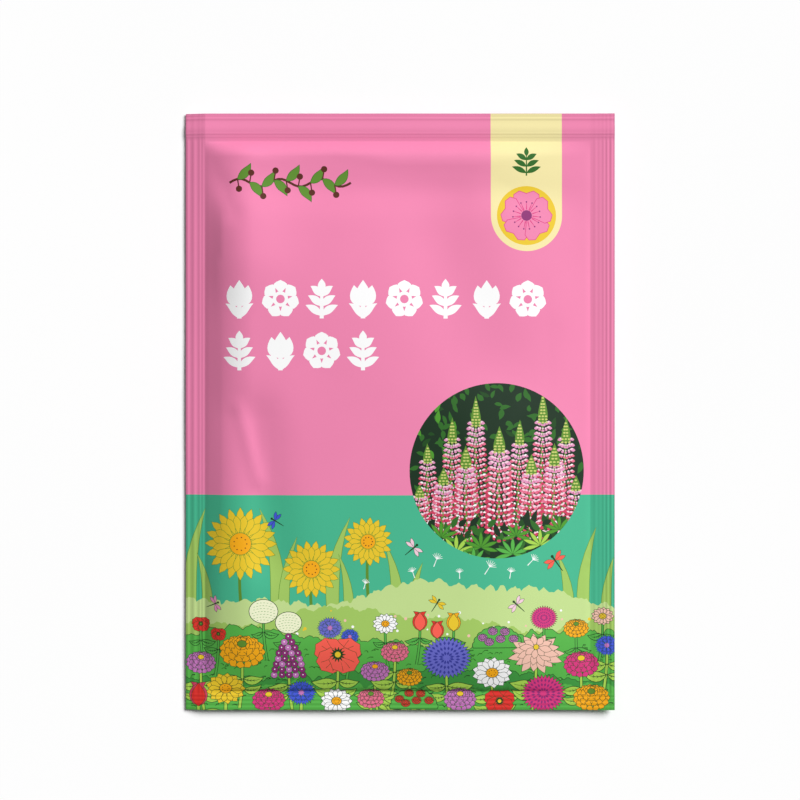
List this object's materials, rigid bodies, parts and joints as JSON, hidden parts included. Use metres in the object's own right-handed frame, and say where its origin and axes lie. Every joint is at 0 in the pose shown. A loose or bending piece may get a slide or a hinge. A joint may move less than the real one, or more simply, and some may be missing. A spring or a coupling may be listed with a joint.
{
  "type": "seed packet",
  "caption": "Flat heat-sealed film sachet, printed on its front with plain flower motifs, that holds loose seeds in a low pillow between crimped edge seals.",
  "frame": {"origin": "on the table under the middle of the packet's outline, with the packet on its back", "axes": "+X to the packet's right as it is read, +Y towards its top seal, +Z out of its printed front"},
  "size_m": [0.1, 0.139, 0.0071],
  "materials": {
    "printed_film": "matte laminate film, printed on its outer face, crimped ribs in the seals",
    "back_film": "matte laminate film in the same ground colour, crimped ribs in the seals",
    "seed": "smooth dry seed coat, brown with darker mottling"
  },
  "bodies": {
    "root": {"front_web": "printed_film", "back_web": "back_film", "seed_01": "seed", "seed_02": "seed", "seed_03": "seed", "seed_04": "seed", "seed_05": "seed", "seed_06": "seed", "seed_07": "seed", "seed_08": "seed", "seed_09": "seed", "seed_10": "seed", "seed_11": "seed", "seed_12": "seed", "seed_13": "seed", "seed_14": "seed", "seed_15": "seed", "seed_16": "seed", "seed_17": "seed", "seed_18": "seed", "seed_19": "seed", "seed_20": "seed", "seed_21": "seed", "seed_22": "seed", "seed_23": "seed", "seed_24": "seed"}
  },
  "joints": []
}
